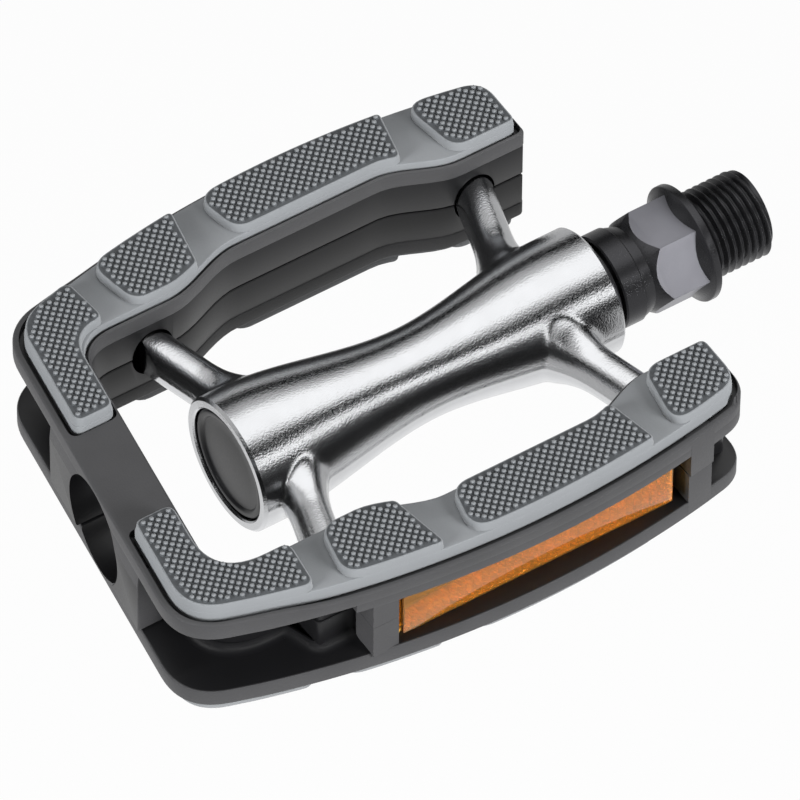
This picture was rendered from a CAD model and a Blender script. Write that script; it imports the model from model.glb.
"""Dress the flat pedal's frame: cast barrel, threaded spindle, moulded cage, dotted grips and reflectors."""
import math
from types import SimpleNamespace

import bmesh
import bpy
import numpy as np
from bpy.props import FloatProperty, FloatVectorProperty, IntProperty, PointerProperty
from mathutils import Matrix, Vector


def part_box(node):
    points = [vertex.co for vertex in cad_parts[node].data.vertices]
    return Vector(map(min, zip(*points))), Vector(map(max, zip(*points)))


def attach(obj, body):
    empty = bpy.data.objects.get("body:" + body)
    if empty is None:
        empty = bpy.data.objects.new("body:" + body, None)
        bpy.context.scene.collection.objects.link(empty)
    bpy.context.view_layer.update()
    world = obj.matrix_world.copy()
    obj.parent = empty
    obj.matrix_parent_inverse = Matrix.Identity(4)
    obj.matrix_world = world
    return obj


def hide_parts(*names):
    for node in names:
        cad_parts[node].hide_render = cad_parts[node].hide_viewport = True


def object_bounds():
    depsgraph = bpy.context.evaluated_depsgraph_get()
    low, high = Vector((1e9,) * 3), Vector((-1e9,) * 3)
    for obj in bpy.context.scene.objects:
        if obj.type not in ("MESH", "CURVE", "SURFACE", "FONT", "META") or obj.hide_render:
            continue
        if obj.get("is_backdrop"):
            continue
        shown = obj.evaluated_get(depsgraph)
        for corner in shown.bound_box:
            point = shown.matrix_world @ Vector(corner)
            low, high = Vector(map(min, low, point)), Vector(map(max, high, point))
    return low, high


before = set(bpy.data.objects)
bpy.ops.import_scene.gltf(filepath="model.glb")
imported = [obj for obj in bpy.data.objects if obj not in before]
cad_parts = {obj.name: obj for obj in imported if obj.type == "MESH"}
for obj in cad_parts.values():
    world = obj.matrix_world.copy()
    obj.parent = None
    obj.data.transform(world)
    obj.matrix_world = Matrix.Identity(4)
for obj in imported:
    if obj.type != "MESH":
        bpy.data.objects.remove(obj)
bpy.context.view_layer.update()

bl_info = {
    "name": "Flat Pedal",
    "version": (1, 0, 0),
    "blender": (4, 5, 0),
    "location": "View3D > Sidebar > Flat Pedal",
    "description": "Builds the finished surfaces of a two-sided flat bicycle pedal",
    "category": "Object",
}

MM = 0.001

# Stations along the spindle are measured from the barrel's outer end face, as on a drawing
BARREL_LENGTH = 65.0
_, HOUSING_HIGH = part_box("spindle_housing")
CAP_LOW, CAP_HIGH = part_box("dust_cap")
_, SPINDLE_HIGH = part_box("spindle")
CAP_RECESS = 0.4
ORIGIN = CAP_LOW.x / MM - CAP_RECESS


def linear(code):
    """Turn an sRGB hex colour into linear RGB."""
    channels = [int(code[start:start + 2], 16) / 255.0 for start in (1, 3, 5)]
    return tuple(c / 12.92 if c <= 0.04045 else ((c + 0.055) / 1.055) ** 2.4 for c in channels)


def length(name, description, default):
    """A size, written here in millimetres and kept in metres."""
    return FloatProperty(
        name=name, description=description, default=default * MM, min=0.0, precision=5, unit="LENGTH")


def colour(name, description, code):
    """A surface colour."""
    return FloatVectorProperty(
        name=name, description=description, default=linear(code), subtype="COLOR", size=3, min=0.0, max=1.0)


class PedalSizes(bpy.types.PropertyGroup):
    """Sizes of the finish."""
    dot_pitch: length("Dot pitch", "Distance between the grip's dots along the lattice", 1.02)
    dot_radius: length("Dot radius", "Radius of a dot at its foot", 0.53)
    dot_height: length("Dot height", "Height of a dot", 0.45)
    dot_margin: length("Dot margin", "Bare border round each pad", 0.62)
    pad_round: length("Pad rounding", "Radius along the edges of pads and strips", 0.3)
    cage_round: length("Cage rounding", "Radius along the cage's moulded edges", 0.4)
    thread_pitch: length("Thread pitch", "Pitch of the crank thread, 20 turns to the inch", 1.27)
    thread_depth: length("Thread depth", "Depth of the crank thread", 0.72)
    cast_voxel: length("Casting detail", "Grid on which the casting is blended", 0.36)
    prism_pitch: length("Prism pitch", "Width of one reflector prism", 1.4)
    round_steps: IntProperty(
        name="Round steps", description="Facets round a turned piece", default=96, min=24)


class PedalColours(bpy.types.PropertyGroup):
    """Colours of the finish."""
    casting: colour("Casting", "Tumbled aluminium", "#d2d3d5")
    oxide: colour("Spindle", "Black oxide steel", "#39393b")
    milled: colour("Wrench flats", "Milled steel", "#646469")
    steel: colour("Bearings", "Ground bearing steel", "#b8b9bb")
    nylon: colour("Cage", "Moulded grey-black nylon", "#272728")
    nylon_deep: colour("Cage recesses", "Smooth black nylon", "#0a0a0b")
    grip: colour("Grip", "Grey thermoplastic rubber", "#515355")
    grip_deep: colour("Grip floor", "Rubber between the dots", "#303234")
    amber: colour("Amber", "Amber acrylic", "#ecb150")
    amber_deep: colour("Deep amber", "Prisms behind the lens", "#e29c46")
    floor: colour("Floor", "Studio floor", "#f6f6f6")


def sizes():
    """The sizes in use, with lengths in millimetres."""
    group = bpy.context.scene.pedal_sizes
    values = {name: getattr(group, name) for name in PedalSizes.__annotations__}
    return SimpleNamespace(**{
        name: value if isinstance(value, int) else value / MM for name, value in values.items()})


def colours():
    """The colours in use."""
    return bpy.context.scene.pedal_colours


def add_node(tree, kind, inputs=None, **settings):
    """Add a shader node, set its options, and set or link its inputs."""
    made = tree.nodes.new(kind)
    for name, value in settings.items():
        setattr(made, name, value)
    for name, value in (inputs or {}).items():
        if isinstance(value, bpy.types.NodeSocket):
            tree.links.new(value, made.inputs[name])
        else:
            made.inputs[name].default_value = value
    return made


def new_material(name):
    """An empty node material and its tree."""
    made = bpy.data.materials.new(name)
    made.use_nodes = True
    made.node_tree.nodes.clear()
    return made, made.node_tree


# Surfaces by the name of their colour: material, grain in mm, contrast, roughness, relief in mm, other inputs
# Grains too fine to show in the picture are drawn coarser so that they show
SURFACES = {
    # Die-cast aluminium, tumbled bright: a satin metal with a fine pebbled skin
    "casting": ("tumbled cast aluminium", 0.3, 0.06, (0.12, 0.24), 0.036, {"Metallic": 1.0}),
    # Turned and milled steel, blackened: dark, with a soft metal sheen
    "oxide": ("black oxide steel", 0.3, 0.08, (0.22, 0.36), 0.01, {"Metallic": 0.88}),
    # Wrench flats, milled and only thinly blackened: a paler, even satin
    "milled": ("milled oxide steel", 0.25, 0.1, (0.38, 0.5), 0.006, {"Metallic": 0.6}),
    # Hardened bearing steel, ground smooth: bright, with a clean sheen
    "steel": ("ground bearing steel", 0.2, 0.03, (0.12, 0.2), 0.004, {"Metallic": 1.0}),
    # Glass-filled nylon from a spark-eroded mould: dark grey, with a dull grain that scuffs lighter
    "nylon": ("moulded glass-filled nylon", 0.35, 0.12, (0.42, 0.6), 0.02, {}),
    # The same nylon where the mould was smooth: nearly black, with a soft gloss
    "nylon_deep": ("polished glass-filled nylon", 0.3, 0.1, (0.3, 0.42), 0.006, {}),
    # Thermoplastic rubber, moulded grey: matt, with a slight bloom
    "grip": (
        "moulded thermoplastic rubber", 0.3, 0.05, (0.5, 0.68), 0.012,
        {"Sheen Weight": 0.08, "Sheen Roughness": 0.5}),
    # The same rubber off an etched tool face, between the dots: duller, and darker in their shade
    "grip_deep": ("etched thermoplastic rubber", 0.3, 0.05, (0.65, 0.8), 0.012, {}),
    # Clear amber acrylic: a smooth glossy face that lets the prisms behind it show
    "amber": (
        "moulded amber acrylic", 1.2, 0.06, (0.03, 0.08), 0.004,
        {"Transmission Weight": 0.95, "IOR": 1.49, "Specular IOR Level": 0.55}),
    # Corner prisms moulded in the back of the lens: each face mirrors a different part of the room
    "amber_deep": ("amber retroreflecting prisms", 0.06, 0.8, (0.1, 0.22), 0.004, {"Metallic": 0.5}),
}
# The colour varies in patches this many grains wide
PATCH_GRAINS = 14.0
WHITE = (1.0, 1.0, 1.0, 1.0)


def surface(tint):
    """Principled surface with a grain that varies its colour, roughness and relief."""
    name, grain_mm, contrast, roughness, relief_mm, fixed = SURFACES[tint]
    made, tree = new_material(name)
    place = add_node(tree, "ShaderNodeTexCoord").outputs["Object"]
    fine, broad = [
        add_node(tree, "ShaderNodeTexNoise", {
            "Vector": place, "Scale": 1.0 / (width * MM), "Detail": detail}).outputs["Fac"]
        for width, detail in ((grain_mm, 3.0), (grain_mm * PATCH_GRAINS, 2.0))]
    dark, light = [
        (*(min(1.0, channel * level) for channel in getattr(colours(), tint)), 1.0)
        for level in (1.0 - contrast, 1.0 + contrast)]
    base = add_node(tree, "ShaderNodeMix", {0: broad, 6: dark, 7: light}, data_type="RGBA")
    rough = add_node(
        tree, "ShaderNodeMapRange", {"Value": fine, "To Min": roughness[0], "To Max": roughness[1]})
    relief = add_node(tree, "ShaderNodeBump", {"Height": fine, "Distance": relief_mm * MM})
    shader = add_node(tree, "ShaderNodeBsdfPrincipled", {
        "Base Color": base.outputs[2], "Roughness": rough.outputs["Result"],
        "Normal": relief.outputs["Normal"], **fixed})
    add_node(tree, "ShaderNodeOutputMaterial", {"Surface": shader.outputs["BSDF"]})
    return made


def linked(name, data):
    """Put a mesh, lamp or camera in the scene."""
    made = bpy.data.objects.new(name, data)
    bpy.context.scene.collection.objects.link(made)
    return made


def finished(thing, materials, body, slot, *nodes, smooth=35.0):
    """Shade a piece, give it its materials and body, and hide the solid that it stands for."""
    slots = [face.material_index for face in thing.data.polygons]
    thing.data.materials.clear()
    for material in materials:
        thing.data.materials.append(material)
    thing.data.polygons.foreach_set("material_index", slots)
    thing.data.shade_smooth()
    thing.data.set_sharp_from_angle(angle=math.radians(smooth))
    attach(thing, body)
    if nodes:
        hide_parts(*nodes)


def baked(thing):
    """Apply an object's modifiers and keep it as a plain mesh object."""
    name = thing.name
    bpy.context.view_layer.update()
    ready = thing.evaluated_get(bpy.context.evaluated_depsgraph_get())
    mesh = bpy.data.meshes.new_from_object(ready)
    bpy.data.objects.remove(thing, do_unlink=True)
    mesh.name = name
    return linked(name, mesh)


def kept(name, shape):
    """Keep a bmesh as an object."""
    mesh = bpy.data.meshes.new(name)
    shape.to_mesh(mesh)
    shape.free()
    return linked(name, mesh)


def new_object(name, fill, *details):
    """An object whose mesh is filled by a function that takes a bmesh."""
    shape = bmesh.new()
    fill(shape, *details)
    bmesh.ops.recalc_face_normals(shape, faces=shape.faces)
    return kept(name, shape)


def joined(name, things, slot=0):
    """Gather objects into one, and keep their materials' slots."""
    shape = bmesh.new()
    for thing in things:
        before = len(shape.faces)
        shape.from_mesh(thing.data)
        shape.faces.ensure_lookup_table()
        for face in shape.faces[before:]:
            face.material_index = max(slot, face.material_index)
        bpy.data.objects.remove(thing, do_unlink=True)
    return kept(name, shape)


def mirrored(thing, name):
    """The same piece on the pedal's other tread."""
    mesh = thing.data.copy()
    mesh.transform(Matrix.Diagonal((1.0, 1.0, -1.0, 1.0)))
    mesh.flip_normals()
    return linked(name, mesh)


def rounded(thing, radius_mm, segments):
    """Round an object's sharp edges."""
    step = thing.modifiers.new("round", "BEVEL")
    step.width = radius_mm * MM
    step.segments = segments
    step.limit_method = "ANGLE"
    step.angle_limit = math.radians(40.0)
    return baked(thing)


def add_point(shape, station, across, up):
    """A vertex at a place on the drawing, in millimetres."""
    return shape.verts.new(((station + ORIGIN) * MM, across * MM, up * MM))


def lathe(shape, profile, steps, closed=False, radius_at=None):
    """Turn (station, radius) points about X into a closed skin; radius_at can change a radius by angle."""
    rings = []
    for station, radius in profile:
        if radius == 0.0:
            rings.append([add_point(shape, station, 0.0, 0.0)])
            continue
        rings.append([])
        for turn in (2.0 * math.pi * step / steps for step in range(steps)):
            reach = radius_at(station, radius, turn) if radius_at else radius
            rings[-1].append(add_point(shape, station, reach * math.cos(turn), reach * math.sin(turn)))
    pairs = list(zip(rings, rings[1:]))
    if closed:
        pairs.append((rings[-1], rings[0]))
    for first, second in pairs:
        for step in range(steps):
            after = (step + 1) % steps
            corners = [
                first[step % len(first)], first[after % len(first)],
                second[after % len(second)], second[step % len(second)]]
            shape.faces.new(list(dict.fromkeys(corners)))


def lathe_object(name, profile, *details):
    """A turned object."""
    return new_object(name, lathe, profile, sizes().round_steps, *details)


def combined(base, tool, operation="DIFFERENCE"):
    """Boolean of two objects."""
    step = base.modifiers.new("combine", "BOOLEAN")
    step.operation = operation
    step.object = tool
    made = baked(base)
    bpy.data.objects.remove(tool, do_unlink=True)
    return made


def smoothstep(value):
    """Ease from 0 to 1."""
    held = min(max(value, 0.0), 1.0)
    return held * held * (3.0 - 2.0 * held)


# Casting, as on the solid
OUTER_RADIUS = HOUSING_HIGH.z / MM
CRANK_RADIUS = 10.4
WAIST_RADIUS = 7.4
WAIST_STATION = 34.0
TAPER_START, TAPER_END = 4.0, 60.0
ARM_STATIONS = ((10.0, -1), (53.0, 1))
ARM_SPLAY = math.radians(16.5)
ARM_HALF = (3.2, 4.3)
ARM_TIP, ARM_CHAMFER, ARM_STEPS = 31.9, 0.5, 40
ROOT_RADIUS, ROOT_START, ROOT_LENGTH = 5.2, 8.0, 8.0
CAST_OVERRUN = 2.0
END_CHAMFER = 0.45
SEAT_RADIUS, CAP_SEAT_RADIUS, BORE_RADIUS = 8.49, 9.3, 5.3
CAP_SEAT_END, OUTER_SEAT_END, INNER_SEAT_START = 2.9, 16.5, 55.8
MOUTH_CHAMFER, BORE_OVERRUN = 0.25, 3.0


def barrel_radius(station):
    """Radius of the waisted barrel."""
    if station < WAIST_STATION:
        share = (WAIST_STATION - station) / (WAIST_STATION - TAPER_START)
        return WAIST_RADIUS + (OUTER_RADIUS - WAIST_RADIUS) * smoothstep(share)
    share = (station - WAIST_STATION) / (TAPER_END - WAIST_STATION)
    return WAIST_RADIUS + (CRANK_RADIUS - WAIST_RADIUS) * smoothstep(share)


def add_arm(shape, side, station, lean, start=0.0, clearance=0.0):
    """One oval arm with a trumpet root, or only its end from a distance off the spindle's axis."""
    reach = ARM_TIP / math.cos(ARM_SPLAY) + clearance
    half = ARM_HALF[0] + clearance
    place = Matrix.Translation(((station + ORIGIN) * MM, 0.0, 0.0))
    place = place @ Matrix.Rotation(side * (math.pi / 2.0 - lean * ARM_SPLAY), 4, "Z")
    flare = ROOT_RADIUS - ARM_HALF[0]
    profile = [(0.0, ROOT_RADIUS), (WAIST_RADIUS, ROOT_RADIUS)]
    profile += [(ROOT_START + rise, ARM_HALF[0] + flare * (1.0 - rise / ROOT_LENGTH) ** 2)
                for rise in (1.0, 2.0, 3.0, 4.5, 6.0, ROOT_LENGTH)]
    if start:
        profile = [(start, half)]
    profile += [(reach - ARM_CHAMFER, half), (reach, half - ARM_CHAMFER)]
    tall = ARM_HALF[1] / ARM_HALF[0]
    turns = [2.0 * math.pi * step / ARM_STEPS for step in range(ARM_STEPS)]
    rings = [
        [Vector((along, radius * math.cos(turn), radius * tall * math.sin(turn))) * MM for turn in turns]
        for along, radius in profile]
    skin(shape, [[shape.verts.new(place @ spot) for spot in ring] for ring in rings])


def skin(shape, rings):
    """Join equal rings of vertices into a closed skin."""
    count = len(rings[0])
    for first, second in zip(rings, rings[1:]):
        for step in range(count):
            after = (step + 1) % count
            shape.faces.new((first[step], first[after], second[after], second[step]))
    shape.faces.new(rings[0][::-1])
    shape.faces.new(rings[-1])


def fill_arms(shape, *fit):
    """The four arms, or their ends grown by a fit."""
    for side in (1, -1):
        for station, lean in ARM_STATIONS:
            add_arm(shape, side, station, lean, *fit)


def fill_casting(shape):
    """Barrel and arms as skins that run into each other."""
    stations = np.linspace(-CAST_OVERRUN, BARREL_LENGTH + CAST_OVERRUN, 90)
    profile = [(at, barrel_radius(at)) for at in stations]
    lathe(shape, [(stations[0], 0.0), *profile, (stations[-1], 0.0)], sizes().round_steps)
    fill_arms(shape)


def cast_blank():
    """Barrel and arms, blended on a fine grid so that the roots are filleted as a casting's are."""
    blank = new_object("spindle_housing_cast", fill_casting)
    grid = blank.modifiers.new("grid", "REMESH")
    grid.mode = "VOXEL"
    grid.voxel_size = sizes().cast_voxel * MM
    relax = blank.modifiers.new("relax", "SMOOTH")
    relax.factor = 0.5
    relax.iterations = 14
    return baked(blank)


def parting_line(thing, half_width=0.45, height=0.14):
    """Raise the fine ledge that the two halves of the mould leave along the middle of the casting."""
    for vertex in thing.data.vertices:
        share = 1.0 - abs(vertex.co.z) / (half_width * MM)
        if share > 0.0:
            vertex.co += vertex.normal * height * MM * share


def bore_profile():
    """Machined bore with its seats for cap, cups and seal."""
    far, mouth = BARREL_LENGTH + BORE_OVERRUN, CAP_SEAT_RADIUS + BORE_OVERRUN + MOUTH_CHAMFER
    return [
        (far, 0.0), (far, SEAT_RADIUS), (INNER_SEAT_START, SEAT_RADIUS), (INNER_SEAT_START, BORE_RADIUS),
        (OUTER_SEAT_END, BORE_RADIUS), (OUTER_SEAT_END, SEAT_RADIUS), (CAP_SEAT_END, SEAT_RADIUS),
        (CAP_SEAT_END, CAP_SEAT_RADIUS), (MOUTH_CHAMFER, CAP_SEAT_RADIUS), (-BORE_OVERRUN, mouth),
        (-BORE_OVERRUN, 0.0)]


def envelope_profile():
    """What the facing cuts leave: flat ends with a small chamfer, and everything between them."""
    far = 60.0
    return [
        (0.0, 0.0), (0.0, OUTER_RADIUS - END_CHAMFER), (END_CHAMFER, OUTER_RADIUS), (END_CHAMFER + 1.0, far),
        (BARREL_LENGTH - END_CHAMFER - 1.0, far), (BARREL_LENGTH - END_CHAMFER, CRANK_RADIUS),
        (BARREL_LENGTH, CRANK_RADIUS - END_CHAMFER), (BARREL_LENGTH, 0.0)]


class PEDAL_OT_housing(bpy.types.Operator):
    """Cast the barrel and arms, face the ends and bore it"""
    bl_idname = "pedal.housing"
    bl_label = "Spindle Housing"

    def execute(self, context):
        blank = cast_blank()
        parting_line(blank)
        blank = combined(blank, lathe_object("envelope", envelope_profile()), "INTERSECT")
        blank = combined(blank, lathe_object("bore", bore_profile()))
        finished(blank, (surface("casting"),), "pedal", "cast_aluminium", "spindle_housing")
        return {"FINISHED"}


# Spindle stations as on the solid; the collar's radius was measured in the photograph
HEX_START, HEX_END = 71.7, 80.7
COLLAR_END = 82.9
THREAD_END = SPINDLE_HIGH.x / MM - ORIGIN
THREAD_RADIUS = 7.144
COLLAR_RADIUS = 9.6
HEX_FLATS = 15.0
SLEEVE_RADIUS = 7.75
SHAFT_START, RACE_CENTRE, RACE_RADIUS = 4.2, (58.5, 5.8), 1.7375
THREAD_RELIEF, THREAD_CHAMFER, THREAD_CUTS = 0.55, 0.4, 14
HEX_RUN_OUT = 0.6


def spindle_profile():
    """Shaft, bearing land, sleeve and collar, from the tip to the collar's crank face."""
    race = [(RACE_CENTRE[0] + RACE_RADIUS * math.cos(t), RACE_CENTRE[1] + RACE_RADIUS * math.sin(t))
            for t in np.linspace(-math.pi / 2.0, 0.0, 9)]
    shaft = [(SHAFT_START, 0.0), (SHAFT_START, 2.5), (4.7, 3.0), (14.7, 3.0), (14.7, 4.0), (56.8, 4.0)]
    sleeve = [(at, SLEEVE_RADIUS - cut) for at, cut in (
        (66.9, 0.25), (67.15, 0.0), (70.4, 0.0), (70.7, 0.35), (71.2, 0.35), (72.2, 0.7),
        (HEX_END - 0.8, 0.7))]
    collar = [(HEX_END + at, COLLAR_RADIUS - cut) for at, cut in (
        (0.6, 0.95), (0.85, 0.3), (0.95, 0.08), (1.1, 0.0))]
    collar += [(COLLAR_END - back, COLLAR_RADIUS - cut) for back, cut in (
        (0.2, 0.0), (0.06, 0.06), (0.0, 0.2))]
    return [
        *shaft, *race, (60.6, 6.2), (66.9, 6.2), *sleeve, *collar, (COLLAR_END, 6.2), (COLLAR_END - 0.4, 0.0)]


def thread_radius(station, radius, turn):
    """Sharp V thread that runs out at the relief beside the collar."""
    size = sizes()
    phase = (station / size.thread_pitch - turn / (2.0 * math.pi)) % 1.0
    tooth = min(max(abs(2.0 * phase - 1.0) * 1.3 - 0.15, 0.0), 1.0)
    run_in = smoothstep((station - COLLAR_END - 0.8) / 1.0)
    return radius - size.thread_depth * (1.0 - tooth) * run_in - THREAD_RELIEF * (1.0 - run_in)


def thread_profile():
    """Stations fine enough to show the thread's flanks."""
    count = int((THREAD_END - COLLAR_END) / sizes().thread_pitch * THREAD_CUTS)
    stations = np.linspace(COLLAR_END - 0.3, THREAD_END, count)
    rims = [(at, THREAD_RADIUS - max(0.0, at - (THREAD_END - THREAD_CHAMFER))) for at in stations]
    return [(stations[0], 0.0)] + rims + [(THREAD_END, 0.0)]


def hexagon():
    """Wrench flats whose corners are turned off towards the sleeve, and run into the collar's cone."""
    corner, flat, end = HEX_FLATS / math.sqrt(3.0), HEX_FLATS / 2.0, HEX_END + HEX_RUN_OUT
    bar = [(HEX_START, 0.0), (HEX_START, corner), (end, corner), (end, 0.0)]
    start, end, rim = HEX_START + 0.6, HEX_END + 1.5, corner + 0.02
    turned_off = [(start, 0.0), (start, flat - 0.55), (start + 2.5, rim), (end, rim), (end, 0.0)]
    made = combined(
        new_object("hexagon", lathe, bar, 6), lathe_object("turned_off", turned_off), "INTERSECT")
    return rounded(made, 0.12, 2)


class PEDAL_OT_spindle(bpy.types.Operator):
    """Turn the spindle, mill its wrench flats and cut the crank thread"""
    bl_idname = "pedal.spindle"
    bl_label = "Spindle"

    def execute(self, context):
        flats = hexagon()
        for face in flats.data.polygons:
            face.material_index = int(abs(face.normal.x) < 0.1)
        turned = lathe_object("turned", spindle_profile())
        thread = lathe_object("thread", thread_profile(), False, thread_radius)
        made = joined("spindle_turned", [turned, thread, flats])
        steel = surface("oxide"), surface("milled")
        finished(made, steel, "spindle", "black_oxide_steel", "spindle", smooth=25.0)
        return {"FINISHED"}


class PEDAL_OT_cap_and_seal(bpy.types.Operator):
    """Mould the dust cap and the crank-side seal"""
    bl_idname = "pedal.cap_and_seal"
    bl_label = "Dust Cap and Seal"

    def execute(self, context):
        nylon = surface("nylon_deep")
        rim = CAP_HIGH.z / MM
        cap = [(2.6, 0.0)] + [(at, rim - cut) for at, cut in (
            (2.6, 0.3), (2.3, 0.0), (0.6, 0.0), (0.45, 0.15), (CAP_RECESS, 0.4), (CAP_RECESS, 0.9),
            (0.5, 1.1), (0.85, 1.35), (0.9, 1.6), (0.8, 3.5))] + [(0.7, 2.5), (0.68, 0.0)]
        finished(lathe_object("dust_cap_moulded", cap[::-1]), (nylon,), "pedal", "moulded_nylon", "dust_cap")
        seal = [
            (61.1, 6.5), (66.3, 6.5), (66.3, 7.45), (66.15, 7.65), (65.7, 7.75), (65.3, 8.1),
            (65.1, 8.19), (61.1, 8.19)]
        ring = lathe_object("inner_seal_moulded", seal, True)
        finished(ring, (nylon,), "pedal", "moulded_nylon", "inner_seal")
        return {"FINISHED"}


# Plan and section of the cage, as on the solid; lips, pockets and grips were measured in the photograph
CRANK_END = 69.5
RAIL_APEX, RAIL_APEX_STATION, RAIL_BOW = 40.9, 32.0, 165.0
EDGE_AT_ARMS, EDGE_AT_MIDDLE = 24.8, 28.7
RISE_START, RISE_LENGTH, FALL_START, FALL_LENGTH = 6.0, 14.0, 45.0, 13.0
BAR_STATION, BAR_WIDTH, BAR_SLANT = -22.8, 9.3, math.radians(7.8)
OUTER_CORNER, INNER_CORNER, CRANK_CORNER = 9.0, 6.5, 6.0
CAGE_TOP, LIP_LOW, POCKET_FLOOR, SEAM = 9.5, 6.3, 7.8, 0.15
WALL, POCKET_GAP = 2.6, 0.85
UPPER_GROWTH, BROW_LOW, BROW_SPAN, RIM_DROP = 0.4, 4.9, (-1.0, 62.0), 1.0
CLAMP_FACE, RIB_LOW, RIB_FACE, LENS_FACE = 33.2, 33.0, 34.4, 38.5
CLAMP_SPANS = ((-4.87, 7.9), (55.1, 67.87))
PANEL_SPAN, PANEL_INNER, BLOCK_SPAN = (1.6, 6.1), 33.7, (57.4, 62.0)
WEB_HALF, WEB_BULGE, HOLE_RADIUS = 16.0, 0.6, 8.7
GRIP_LOW, GRIP_TOP, PAD_TOP = 8.0, 10.6, 12.2
GRIP_OUTER, GRIP_INNER, GRIP_BAR_END, GRIP_END = 1.4, 0.9, 10.2, 68.5
PAD_INSET, PAD_SLANT, PAD_GAP = 0.25, 2.0, 4.5
PAD_ENDS = (-6.3, 14.3, 51.5, 68.25)
PAD_LEAD, PAD_TAIL, PAD_LAST_TAIL, PAD_INSIDE = 3.4, 0.8, 4.3, 1.2
LAST_GAP, STRIP_CORNER, FLANGE_CORNER = 3.8, 1.6, 1.0
POCKET_INNER_GAP, POCKET_BAR_GAP, POCKET_CUT_TOP = 0.5, 0.3, 12.0
# Moulded pieces run this far into each other
LAP = 0.4
BLOCK_DEPTH, BLOCK_DROP, BROW_DEPTH = 4.5, 0.5, 1.2
DROP_CENTRE, DROP_LOW, DROP_WALL = 31.0, 3.9, 1.4
RIM_BAND, RIM_START, RIM_RUN = 0.8, -14.0, 12.0
ARM_CUT_START, ARM_FIT = 16.0, 0.3
FINE_STEP, FINE_ARC, LONG_REACH = 1.6, 12, 0.9
CLEAR_SHARE, STRAIGHT_SHARE, CORNER_TRIES = 1.15, 1.3, 30


def spread(start, end):
    """Evenly spaced stations."""
    return list(np.linspace(start, end, math.ceil(abs(end - start) / FINE_STEP) + 1))


def round_corners(points, radii, limit=0.49):
    """Round the corners of an outline that have a radius."""
    made = []
    for index, point in enumerate(points):
        here = Vector(point)
        if not radii.get(index):
            made.append(tuple(here))
            continue
        before = Vector(points[index - 1]) - here
        after = Vector(points[(index + 1) % len(points)]) - here
        reach = radii[index] / math.tan(before.angle(after) / 2.0)
        reach = min(reach, before.length * limit, after.length * limit)
        start, end = here + before.normalized() * reach, here + after.normalized() * reach
        for share in np.linspace(0.0, 1.0, FINE_ARC + 1):
            made.append(tuple(start.lerp(here, share).lerp(here.lerp(end, share), share)))
    return made


def rail_edge(station, outer):
    """Half-width of the cage at its outer or inner edge."""
    if outer:
        return RAIL_APEX - (station - RAIL_APEX_STATION) ** 2 / (2.0 * RAIL_BOW)
    rise = smoothstep((station - RISE_START) / RISE_LENGTH) - smoothstep((station - FALL_START) / FALL_LENGTH)
    return EDGE_AT_ARMS + (EDGE_AT_MIDDLE - EDGE_AT_ARMS) * rise


def edge_path(side, outer, inset, rail_end, bar_end):
    """Follow one edge of the cage from a rail station round the corner to a point on the end bar."""
    inward = inset if outer else -inset
    slope = math.tan(BAR_SLANT)
    base = BAR_STATION + (0.0 if outer else BAR_WIDTH) + inward / math.cos(BAR_SLANT)
    radius = OUTER_CORNER - inset if outer else INNER_CORNER + inset
    corner = base
    for _ in range(CORNER_TRIES):
        corner = base + slope * side * (rail_edge(corner, outer) - inward)
    straight = min(corner + STRAIGHT_SHARE * radius, rail_end)
    stations = [*spread(rail_end, straight), corner]
    points = [(at, side * (rail_edge(at, outer) - inward)) for at in stations]
    points.append((base + slope * bar_end, bar_end))
    return round_corners(points, {len(points) - 2: radius}, LONG_REACH)


def around(outer_inset, outer, inner_inset, end):
    """Outline that runs along two edges of the cage, from crank end to crank end and back."""
    return [
        edge_path(side, *edge, end, 0.0)[:-1] + edge_path(-side, *edge, end, 0.0)[-2::-1]
        for side, edge in ((1, (outer, outer_inset)), (-1, (False, inner_inset)))]


def flange_outline(grow):
    """Plan of a shell's flange, grown at its outer edge."""
    far, near = around(-grow, True, 0.0, CRANK_END)
    return round_ends(far, near, (CRANK_CORNER, CRANK_CORNER, FLANGE_CORNER, FLANGE_CORNER))


def strip_outline(side, inset, outer_end, inner_end, bar_end, end_radius):
    """Plan of a grip strip, its pocket or its corner pad."""
    outer = edge_path(side, True, GRIP_OUTER + inset, outer_end, side * bar_end)
    inner = edge_path(side, False, GRIP_INNER + max(inset, -POCKET_INNER_GAP), inner_end, side * bar_end)
    return round_ends(outer, inner[::-1], (end_radius, STRIP_CORNER, STRIP_CORNER, STRIP_CORNER))


def grip_outline(side, inset):
    """Plan of a whole grip strip; a negative inset gives its pocket."""
    end = GRIP_END - inset
    bar_end = GRIP_BAR_END + max(inset, -POCKET_BAR_GAP)
    return strip_outline(side, inset, end, end, bar_end, CRANK_CORNER - GRIP_OUTER - inset)


def pad_outlines(side):
    """Plans of the four pads on a strip."""
    pads = [strip_outline(
        side, PAD_INSET, PAD_ENDS[0], PAD_ENDS[0] + PAD_SLANT / 2.0, GRIP_BAR_END + PAD_INSET, STRIP_CORNER)]
    for before, stop in zip(PAD_ENDS, PAD_ENDS[1:]):
        last = stop == PAD_ENDS[-1]
        start = before + (LAST_GAP if last else PAD_GAP)
        outer = [(at, side * (rail_edge(at, True) - GRIP_OUTER - PAD_INSET)) for at in spread(start, stop)]
        inner_stop = stop if last else stop - PAD_SLANT
        inner = [(at, side * (rail_edge(at, False) + GRIP_INNER + PAD_INSET))
                 for at in spread(start + PAD_SLANT, inner_stop)]
        tail = PAD_LAST_TAIL if last else PAD_TAIL
        pads.append(round_ends(outer, inner[::-1], (PAD_LEAD, tail, PAD_INSIDE, PAD_LEAD)))
    return pads


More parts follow.
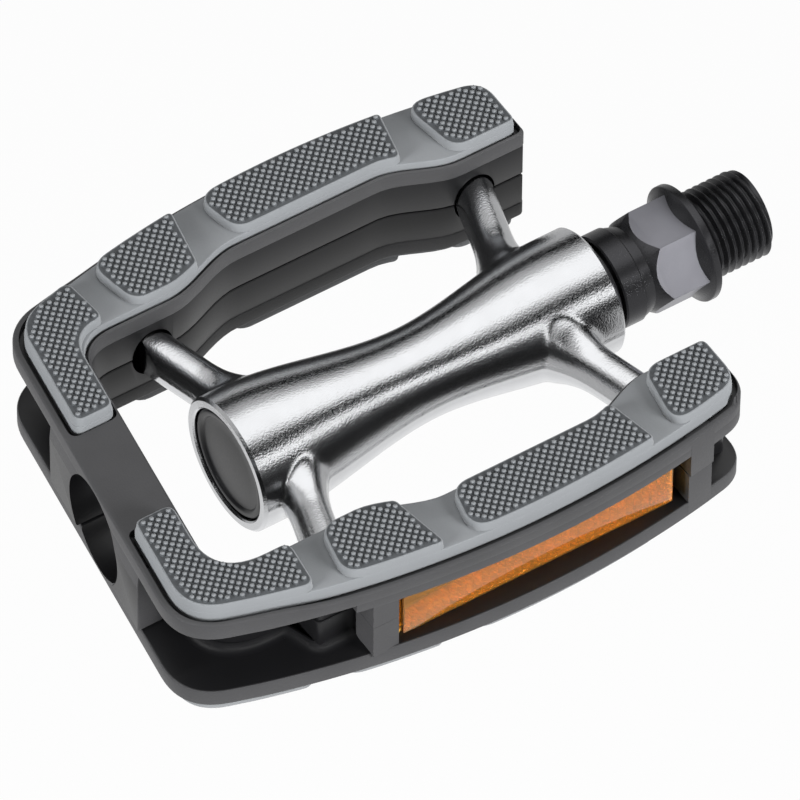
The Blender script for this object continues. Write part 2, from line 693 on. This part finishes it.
def round_ends(outer, inner, corners):
    """Join two runs and round the four corners between them, once the steps beside those are cleared."""
    points = outer + inner
    radii = dict(zip((0, len(outer) - 1, len(outer), len(points) - 1), corners))
    left = []
    for index, point in enumerate(points):
        gaps = [(Vector(point) - Vector(points[other])).length / radius for other, radius in radii.items()]
        if index in radii or min(gaps) > CLEAR_SHARE:
            left.append((index, point))
    places = {old: new for new, (old, _) in enumerate(left)}
    return round_corners(
        [point for _, point in left], {places[index]: radius for index, radius in radii.items()}, LONG_REACH)


def outward(points, closed=True):
    """Mitred normals of an outline, to the right of its run."""
    runs = np.roll(points, -1, 0) - points
    if not closed:
        runs[-1] = runs[-2]
    normals = np.stack([runs[:, 1], -runs[:, 0]], 1) / np.linalg.norm(runs, axis=1)[:, None]
    before = np.roll(normals, 1, 0)
    if not closed:
        before[0] = normals[0]
    return (normals + before) / np.maximum(1.0 + (normals * before).sum(1), 0.4)[:, None]


def loft(shape, outline, rings):
    """Closed skin through copies of an outline, each at a height and grown by an offset."""
    points = np.array(outline)
    points = points[np.linalg.norm(points - np.roll(points, 1, 0), axis=1) > 0.001]
    ahead = np.roll(points, -1, 0)
    if (points[:, 0] * ahead[:, 1] - points[:, 1] * ahead[:, 0]).sum() < 0.0:
        points = points[::-1]
    normals = outward(points)
    skin(shape, [
        [add_point(shape, x, y, height) for x, y in points + normals * offset] for height, offset in rings])


def eased(low, high, radius):
    """Heights and offsets of a plate with rounded rims."""
    rims = [(radius * (1.0 - math.sin(turn)), -radius * (1.0 - math.cos(turn)))
            for turn in np.linspace(0.0, math.pi / 2.0, 4)]
    return [(low + up, inset) for up, inset in rims[::-1]] + [(high - up, inset) for up, inset in rims]


def cut_hole(thing):
    """Cut the end bar's hole through a piece."""
    start, end = BAR_STATION - 8.0, -9.0
    profile = [(start, 0.0), (start, HOLE_RADIUS), (end, HOLE_RADIUS), (end, 0.0)]
    return combined(thing, lathe_object("hole", profile))


def cut_arms(thing):
    """Cut the arms' ends, grown by the clamps' fit, out of a piece."""
    return combined(thing, new_object("arms", fill_arms, ARM_CUT_START, ARM_FIT))


def fill_web(shape):
    """Web across the end bar, bulged a little between the two lips."""
    seat = BAR_WIDTH - WALL
    section = [
        (-WEB_BULGE, 0.3 - LIP_LOW), (seat - 0.3, 0.3 - LIP_LOW), (seat - 0.3, 0.45), (seat + LAP, 0.45),
        (seat + LAP, LIP_LOW + LAP), (WALL, LIP_LOW + LAP), (0.4, CAGE_TOP - 0.3), (-0.06, CAGE_TOP - 0.3),
        (-0.25, 7.6), (-0.42, 6.2), (-WEB_BULGE, 4.0)]
    slope = math.tan(BAR_SLANT)
    skin(shape, [
        [add_point(shape, BAR_STATION + slope * across + along, across, up) for along, up in section]
        for across in (-WEB_HALF, WEB_HALF)])


def fill_fillet(shape, side, radius=1.5):
    """Moulded fillet where the wall and the first clamp meet the flange, along the corner's open channel."""
    low = CLAMP_SPANS[0][0]
    path = [(PANEL_SPAN[0], side * CLAMP_FACE), (low, side * CLAMP_FACE)]
    path.append((low - 2.0, side * (EDGE_AT_ARMS + WALL)))
    path += edge_path(side, False, WALL, low - 4.0, side * WEB_HALF)
    points = np.array(round_corners(path, {1: WALL, 2: WALL}))
    normals = outward(points, closed=False) * side
    section = [(radius * (1.0 - math.sin(turn)), radius * (1.0 - math.cos(turn)))
               for turn in np.linspace(0.0, math.pi / 2.0, 7)]
    section += [(-0.3, radius), (-0.3, -0.3), (radius, -0.3)]
    skin(shape, [
        [add_point(shape, x + across * out, y + along * out, LIP_LOW - up) for out, up in section]
        for (x, y), (across, along) in zip(points, normals)])


def fill_rail_pieces(shape):
    """Seat ribs and end panels of both rails."""
    for side in (1, -1):
        start, end = PANEL_SPAN[0] + LAP, BLOCK_SPAN[0] + LAP
        rib = [(start, RIB_LOW), (end, RIB_LOW), (end, RIB_FACE), (start, RIB_FACE)]
        panel = list(zip(PANEL_SPAN + PANEL_SPAN[::-1], (PANEL_INNER, PANEL_INNER, LENS_FACE, LENS_FACE)))
        for outline, low in ((rib, SEAM), (panel, 0.02)):
            loft(shape, [(at, side * level) for at, level in outline], [(low, 0.0), (LIP_LOW + LAP, 0.0)])


def fill_walls(shape):
    """Inner wall of a shell."""
    far, near = around(WALL, False, 0.1, CRANK_END - LAP)
    loft(shape, far + near, eased(SEAM, LIP_LOW + LAP, 0.2))


def fill_clamp(shape, side, span):
    """Clamp round the end of one arm."""
    low, high = span
    near = EDGE_AT_ARMS + WALL - LAP
    points = [(low, side * near), (high, side * near), (high, side * CLAMP_FACE), (low, side * CLAMP_FACE)]
    loft(shape, round_corners(points, {2: 1.2, 3: 1.2}), eased(SEAM, LIP_LOW + LAP, 0.25))


def fill_edge_bar(shape, span, depth, grow, low, high):
    """Bars along both rails' outer edges, between two heights."""
    stations = spread(*span)
    for side in (1, -1):
        outer = [(at, side * (rail_edge(at, True) + grow)) for at in stations]
        inner = [(at, side * (rail_edge(at, True) - depth)) for at in stations]
        loft(shape, outer + inner[::-1], eased(low, high, 0.12))


def fill_corner_drops(shape):
    """Deeper lip round both crank corners of the upper shell."""
    points = np.array(flange_outline(UPPER_GROWTH - 0.02))
    for side in (1, -1):
        centre = np.array((BLOCK_SPAN[1] - 1.0, side * DROP_CENTRE))
        near = points[(points[:, 0] > BLOCK_SPAN[1] - 0.8) & (points[:, 1] * side > DROP_CENTRE + 0.4)]
        offset = near - centre
        offset = offset[np.argsort(np.arctan2(offset[:, 1] * side, offset[:, 0]))]
        inner = offset * (1.0 - DROP_WALL / np.linalg.norm(offset, axis=1)[:, None])
        loft(shape, centre + np.concatenate([offset, inner[::-1]]), eased(DROP_LOW, LIP_LOW + 0.5, 0.3))


def drop_rim(thing):
    """Lower the outer rim along the rails, where it stands clear of the grips."""
    shape = bmesh.new()
    shape.from_mesh(thing.data)
    bmesh.ops.triangulate(shape, faces=shape.faces)
    for vert in shape.verts:
        station, level = vert.co.x / MM - ORIGIN, abs(vert.co.y) / MM
        if vert.co.z > (POCKET_FLOOR + RIM_BAND) * MM and level > rail_edge(station, True) - RIM_BAND:
            vert.co.z -= RIM_DROP * smoothstep((station - RIM_START) / RIM_RUN) * MM
    shape.to_mesh(thing.data)
    shape.free()
    return thing


def in_hole(face):
    """Whether a face lies on the wall of the end bar's hole."""
    return abs(math.hypot(face.center.y, face.center.z) - HOLE_RADIUS * MM) < 0.2 * MM


def moulded_flange(grow):
    """Flange of a shell with its two grip pockets and the notch of the hole."""
    made = new_object("flange", loft, flange_outline(grow), eased(LIP_LOW, CAGE_TOP, sizes().cage_round))
    for side in (1, -1):
        depth = [(POCKET_FLOOR, 0.0), (POCKET_CUT_TOP, 0.0)]
        pocket = new_object("pocket", loft, grip_outline(side, -POCKET_GAP), depth)
        made = combined(made, pocket)
    made = cut_hole(made)
    for face in made.data.polygons:
        face.material_index = int(face.center.z < (LIP_LOW + 0.1) * MM or in_hole(face))
    return made


class PEDAL_OT_cage(bpy.types.Operator):
    """Mould the two cage shells: flange with grip pockets, walls, clamps, panels and the end web"""
    bl_idname = "pedal.cage"
    bl_label = "Cage Shells"

    def execute(self, context):
        dark = [cut_hole(cut_arms(new_object("walls", fill_walls)))]
        for side in (1, -1):
            dark += [cut_arms(new_object("clamp", fill_clamp, side, span)) for span in CLAMP_SPANS]
            dark.append(new_object("fillet", fill_fillet, side))
        inside = joined("inside", [joined("dark", dark, 1), new_object("rail_pieces", fill_rail_pieces)])
        top = CAGE_TOP - BLOCK_DROP
        block = new_object("block", fill_edge_bar, BLOCK_SPAN, BLOCK_DEPTH, 0.01, SEAM, top)
        below = joined("below", [moulded_flange(0.0), block])
        lower = joined(
            "cage_lower_moulded", [mirrored(inside, "low_inside"), mirrored(below, "low_flange")])
        bpy.data.objects.remove(below, do_unlink=True)
        web = cut_hole(rounded(new_object("web", fill_web), 0.25, 2))
        for face in web.data.polygons:
            face.material_index = int(in_hole(face))
        grow, lap = UPPER_GROWTH + 0.01, LIP_LOW + 0.6
        upper = joined("cage_upper_moulded", [
            inside, drop_rim(moulded_flange(UPPER_GROWTH)), web,
            new_object("block", fill_edge_bar, BLOCK_SPAN, BLOCK_DEPTH, grow, SEAM, top - RIM_DROP),
            new_object("brow", fill_edge_bar, BROW_SPAN, BROW_DEPTH, grow - 0.02, BROW_LOW, lap),
            new_object("drops", fill_corner_drops)])
        for place, shell in (("upper", upper), ("lower", lower)):
            nylon = surface("nylon"), surface("nylon_deep")
            finished(shell, nylon, "pedal", "moulded_nylon", f"cage_{place}")
        return {"FINISHED"}


# The sunk share of a dot's height, and its section as shares of radius and height
DOT_SUNK = 0.3
DOT_SECTION = ((1.0, -0.1), (0.96, 0.2), (0.72, 0.72), (0.3, 1.0))
# Heights over the pad's floor between which the rubber is the darker one
DEEP_FROM, DEEP_TO = -0.004, 0.22
# Draft of a pad's sides, and its top edge as shares of the rounding
PAD_DRAFT = (0.27, 0.2, 0.03)
PAD_RIM = ((0.25, 0.12), (0.06, 0.4), (0.0, 0.8))


def pad_floor():
    """Height of the pads between their dots."""
    return PAD_TOP - DOT_SUNK * sizes().dot_height


def dot_places(outline):
    """Lattice points, turned 45 degrees to the spindle, that lie on a pad and clear of its edge."""
    points = np.array(outline)
    low, high = points.min(0), points.max(0)
    half = sizes().dot_pitch / math.sqrt(2.0)
    spots = np.array([
        (row * half, column * half)
        for row in range(math.floor(low[0] / half), math.ceil(high[0] / half))
        for column in range(math.floor(low[1] / half), math.ceil(high[1] / half)) if (row + column) % 2 == 0])
    start, end = points[None], np.roll(points, -1, 0)[None]
    run = end - start
    offset = spots[:, None] - start
    crosses = (start[..., 1] > spots[:, None, 1]) != (end[..., 1] > spots[:, None, 1])
    at = start[..., 0] + run[..., 0] * offset[..., 1] / np.where(run[..., 1] == 0.0, 1.0, run[..., 1])
    inside = (crosses & (spots[:, None, 0] < at)).sum(1) % 2 == 1
    share = np.clip((offset * run).sum(2) / np.maximum((run ** 2).sum(2), 1e-12), 0.0, 1.0)
    clear = np.linalg.norm(offset - run * share[..., None], axis=2).min(1)
    return spots[inside & (clear > sizes().dot_margin)]


def add_dot(shape, along, across):
    """One moulded dot: a six-sided dome sunk a little into its pad."""
    size = sizes()
    rings = []
    for share, rise in DOT_SECTION:
        reach, height = share * size.dot_radius, PAD_TOP + (rise - DOT_SUNK) * size.dot_height
        rings.append([
            add_point(shape, along + math.cos(turn) * reach, across + math.sin(turn) * reach, height)
            for turn in (math.pi / 3.0 * step for step in range(6))])
    skin(shape, rings)


def fill_grip(shape, side):
    """A strip, its four drafted pads and their dots."""
    rim, floor = sizes().pad_round, pad_floor()
    loft(shape, grip_outline(side, 0.0), eased(GRIP_LOW, GRIP_TOP, rim * 0.6))
    section = list(zip((GRIP_LOW + 0.2, GRIP_TOP, floor - rim * 0.7), PAD_DRAFT))
    section += [(floor - rim * drop, -rim * inset) for drop, inset in PAD_RIM]
    for outline in pad_outlines(side):
        loft(shape, outline, section)
        for along, across in dot_places(outline):
            add_dot(shape, along, across)


class PEDAL_OT_grips(bpy.types.Operator):
    """Mould the grip strips with their pads and dots"""
    bl_idname = "pedal.grips"
    bl_label = "Grip Strips"

    def execute(self, context):
        rubber = (surface("grip"), surface("grip_deep"))
        floor = pad_floor()
        for place, side in (("front", -1), ("rear", 1)):
            upper = new_object(f"grip_upper_{place}_moulded", fill_grip, side)
            for face in upper.data.polygons:
                face.material_index = int(DEEP_FROM < face.center.z / MM - floor < DEEP_TO)
            lower = mirrored(upper, f"grip_lower_{place}_moulded")
            for level, grip in (("upper", upper), ("lower", lower)):
                finished(grip, rubber, "pedal", "grip_rubber", f"grip_{level}_{place}", smooth=50.0)
        return {"FINISHED"}


LENS_HALF, LENS_DEPTH, LENS_END_GAP, LENS_ROUND = 4.7, 1.1, 0.5, 0.3
PRISM_GAP, PRISM_DEPTH, PRISM_BACK, PRISM_LEAN = 0.15, 0.8, 0.8, 0.14


def fill_prisms(shape, low, high, face, side):
    """A plate whose outer face is a field of leaning pyramids."""
    pitch = sizes().prism_pitch * MM
    columns = max(2, round((high.x - low.x) / pitch))
    rows = max(2, round((high.z - low.z) / pitch) * 2)
    base = face - side * PRISM_DEPTH * MM
    grid = {
        (row, column): shape.verts.new((
            low.x + (high.x - low.x) * column / columns, base, low.z + (high.z - low.z) * row / rows))
        for row in range(rows + 1) for column in range(columns + 1)}
    for row in range(rows):
        for column in range(columns):
            corners = [grid[row + up, column + on] for up, on in ((0, 0), (0, 1), (1, 1), (1, 0))]
            middle = sum((corner.co for corner in corners), Vector()) / 4.0
            lean = pitch * PRISM_LEAN * (1 if (row + column) % 2 else -1)
            peak = shape.verts.new((middle.x + lean, face, middle.z))
            for first, second in zip(corners, corners[1:] + corners[:1]):
                shape.faces.new((first, second, peak))
    rim = [edge for edge in shape.edges if edge.is_boundary]
    for item in bmesh.ops.extrude_edge_only(shape, edges=rim)["geom"]:
        if isinstance(item, bmesh.types.BMVert):
            item.co.y = base - side * PRISM_BACK * MM
    bmesh.ops.contextual_create(shape, geom=[edge for edge in shape.edges if edge.is_boundary])


class PEDAL_OT_reflectors(bpy.types.Operator):
    """Make each reflector's clear lens and the prisms behind it"""
    bl_idname = "pedal.reflectors"
    bl_label = "Reflectors"

    def execute(self, context):
        clear, prisms = surface("amber"), surface("amber_deep")
        for place, side in (("front", -1.0), ("rear", 1.0)):
            node = f"reflector_{place}"
            low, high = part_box(node)
            face = high.y if side > 0.0 else low.y
            lens_back = face - side * LENS_DEPTH * MM
            start, end = low.x / MM - ORIGIN + LENS_END_GAP, high.x / MM - ORIGIN - LENS_END_GAP
            front, rear = face / MM, lens_back / MM
            outline = [(start, front), (end, front), (end, rear), (start, rear)]
            lens = new_object(f"{node}_lens", loft, outline, [(-LENS_HALF, 0.0), (LENS_HALF, 0.0)])
            finished(rounded(lens, LENS_ROUND, 3), (clear,), "pedal", "amber_lens")
            peaks = lens_back - side * PRISM_GAP * MM
            sheet = new_object(f"{node}_prisms", fill_prisms, low, high, peaks, side)
            finished(sheet, (prisms,), "pedal", "amber_lens", node, smooth=5.0)
        return {"FINISHED"}


class PEDAL_OT_bearings(bpy.types.Operator):
    """Give the bearing pieces inside the barrel their ground steel"""
    bl_idname = "pedal.bearings"
    bl_label = "Bearings"

    def execute(self, context):
        steel = surface("steel")
        single = ("outer_cup", "inner_cup", "outer_cone", "lock_washer", "lock_nut")
        for name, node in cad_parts.items():
            if name in single or "_ball_" in name:
                node.data.materials.clear()
                node.data.materials.append(steel)
        return {"FINISHED"}


# Camera that took the photograph, in the frame's axes
VIEW_TARGET = Vector((-8.383, -8.095, 6.969)) * MM
VIEW_RIGHT = Vector((0.841929, -0.539565, 0.004993))
VIEW_AHEAD = Vector((0.351459, 0.541343, -0.763822))
VIEW_DISTANCE = 1.98
VIEW_LENS = 595.25
SENSOR_WIDTH = 36.0
VIEW_END = 20.0

# Brightness of the surroundings as light and mirrored, and whiteness of the floor mirrored and seen
WORLD_LIGHT, WORLD_GLOSS = 0.3, 0.55
FLOOR_GLOSS, FLOOR_SEEN, FLOOR_WIDTH = 0.5, 0.92, 4.0


def stage_world():
    """White surroundings: full white to the eye, softer in reflections and as light on the object."""
    world = bpy.data.worlds.new("white studio")
    bpy.context.scene.world = world
    world.use_nodes = True
    tree = world.node_tree
    tree.nodes.clear()
    path = add_node(tree, "ShaderNodeLightPath")
    strength = add_node(
        tree, "ShaderNodeMath",
        {0: path.outputs["Is Glossy Ray"], 1: WORLD_GLOSS - WORLD_LIGHT, 2: WORLD_LIGHT},
        operation="MULTIPLY_ADD")
    for ray in ("Is Camera Ray", "Is Transmission Ray"):
        strength = add_node(
            tree, "ShaderNodeMath", {0: path.outputs[ray], 1: strength.outputs[0]}, operation="MAXIMUM")
    back = add_node(tree, "ShaderNodeBackground", {"Color": WHITE, "Strength": strength.outputs[0]})
    add_node(tree, "ShaderNodeOutputWorld", {"Surface": back.outputs["Background"]})


def floor_material():
    """White paper: plain to the eye, with a trace of the object's shadow."""
    made, tree = new_material("white paper floor")
    path = add_node(tree, "ShaderNodeLightPath")
    paper = add_node(tree, "ShaderNodeBsdfDiffuse", {"Color": (*colours().floor, 1.0)})
    glow = add_node(tree, "ShaderNodeEmission", {"Color": WHITE})
    share = 0.0
    for ray, part in (("Is Glossy Ray", FLOOR_GLOSS), ("Is Camera Ray", FLOOR_SEEN)):
        share = add_node(
            tree, "ShaderNodeMath", {0: path.outputs[ray], 1: part, 2: share},
            operation="MULTIPLY_ADD").outputs[0]
    mixed = add_node(tree, "ShaderNodeMixShader", {0: share, 1: paper.outputs[0], 2: glow.outputs[0]})
    add_node(tree, "ShaderNodeOutputMaterial", {"Surface": mixed.outputs[0]})
    return made


def card_material(name, level):
    """Card of one even brightness that the bright metal mirrors."""
    made, tree = new_material(name)
    even = add_node(tree, "ShaderNodeEmission", {"Color": WHITE, "Strength": level})
    add_node(tree, "ShaderNodeOutputMaterial", {"Surface": even.outputs[0]})
    return made


def fill_sheet(shape, width, depth):
    """A flat rectangle."""
    bmesh.ops.create_grid(shape, x_segments=1, y_segments=1, size=0.5)
    bmesh.ops.scale(shape, vec=(width, depth, 1.0), verts=shape.verts)


def aimed(thing, place):
    """Put an object at a place and turn it to face the pedal."""
    thing.location = place
    thing.rotation_euler = (-Vector(place)).to_track_quat("-Z", "Y").to_euler()


# The floor clears the cage at every turn
FLOOR_GAP = 1.0 * MM
LAMPS = (
    ("front_lamp", (0.5, -1.0, 0.3), 0.6, 58.0),
    ("left_lamp", (-1.0, -0.1, 0.25), 0.5, 36.0),
    ("top_lamp", (0.3, 0.2, 1.2), 0.5, 11.0),
)
CARDS = (
    ("card_front", (0.1, -0.45, 0.12), (1.5, 0.17), 0.0),
    ("card_low", (0.1, -0.5, 0.335), (1.5, 0.13), 1.6),
    ("card_line", (0.1, -0.375, 0.465), (1.5, 0.2), 0.0),
    ("card_key", (0.0, 0.06, 0.6), (1.5, 0.54), 1.4),
    ("card_rear", (0.1, 0.42, 0.22), (1.0, 0.2), 0.0),
    ("card_left", (-0.42, -0.12, 0.10), (0.5, 0.18), 0.0),
    ("card_right", (0.48, -0.1, 0.12), (0.5, 0.18), 0.0),
)


class PEDAL_OT_stage(bpy.types.Operator):
    """Set up the floor, surroundings, lamps, cards and the photograph's camera"""
    bl_idname = "pedal.stage"
    bl_label = "Studio"

    def execute(self, context):
        scene = context.scene
        scene.view_settings.view_transform = "Standard"
        stage_world()
        floor = new_object("floor", fill_sheet, FLOOR_WIDTH, FLOOR_WIDTH)
        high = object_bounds()[1]
        floor.location.z = -math.hypot(high.y, high.z) - FLOOR_GAP
        floor.data.materials.append(floor_material())
        floor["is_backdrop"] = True
        for name, place, (wide, tall), level in CARDS:
            card = new_object(name, fill_sheet, wide, tall)
            aimed(card, place)
            card.data.materials.append(card_material(name, level))
            card.visible_camera = card.visible_diffuse = card.visible_shadow = False
            card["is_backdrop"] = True
        for name, place, wide, power in LAMPS:
            light = bpy.data.lights.new(name, "AREA")
            light.shape = "DISK"
            light.size = wide
            light.energy = power
            lamp = linked(name, light)
            aimed(lamp, place)
            lamp.visible_glossy = False
        data = bpy.data.cameras.new("photo_camera")
        data.lens = VIEW_LENS
        data.sensor_width = SENSOR_WIDTH
        camera = linked("photo_camera", data)
        ahead = VIEW_AHEAD.normalized()
        right = VIEW_RIGHT.normalized()
        turn = Matrix((right, right.cross(ahead), -ahead)).transposed().to_4x4()
        camera.matrix_world = Matrix.Translation(VIEW_TARGET - ahead * VIEW_DISTANCE) @ turn
        data.clip_end = VIEW_END
        scene.camera = camera
        return {"FINISHED"}


STEPS = (
    PEDAL_OT_housing, PEDAL_OT_spindle, PEDAL_OT_cap_and_seal, PEDAL_OT_bearings, PEDAL_OT_cage,
    PEDAL_OT_grips, PEDAL_OT_reflectors, PEDAL_OT_stage)


class PEDAL_PT_panel(bpy.types.Panel):
    """Sidebar panel with the pedal's sizes, colours and steps"""
    bl_idname = "PEDAL_PT_panel"
    bl_label = "Flat Pedal"
    bl_space_type = "VIEW_3D"
    bl_region_type = "UI"
    bl_category = "Flat Pedal"

    def draw(self, context):
        for group in (context.scene.pedal_sizes, context.scene.pedal_colours):
            column = self.layout.column()
            for name in group.__annotations__:
                column.prop(group, name)
        for step in STEPS:
            self.layout.operator(step.bl_idname)


CLASSES = (PedalSizes, PedalColours, *STEPS, PEDAL_PT_panel)


def register():
    """Add the pedal's classes and settings."""
    for item in CLASSES:
        bpy.utils.register_class(item)
    bpy.types.Scene.pedal_sizes = PointerProperty(type=PedalSizes)
    bpy.types.Scene.pedal_colours = PointerProperty(type=PedalColours)


def unregister():
    """Take the pedal's classes and settings away."""
    del bpy.types.Scene.pedal_colours
    del bpy.types.Scene.pedal_sizes
    for item in reversed(CLASSES):
        bpy.utils.unregister_class(item)


def main():
    """Build every piece."""
    register()
    for step in STEPS:
        group, name = step.bl_idname.split(".")
        getattr(getattr(bpy.ops, group), name)()


if __name__ == "__main__":
    main()
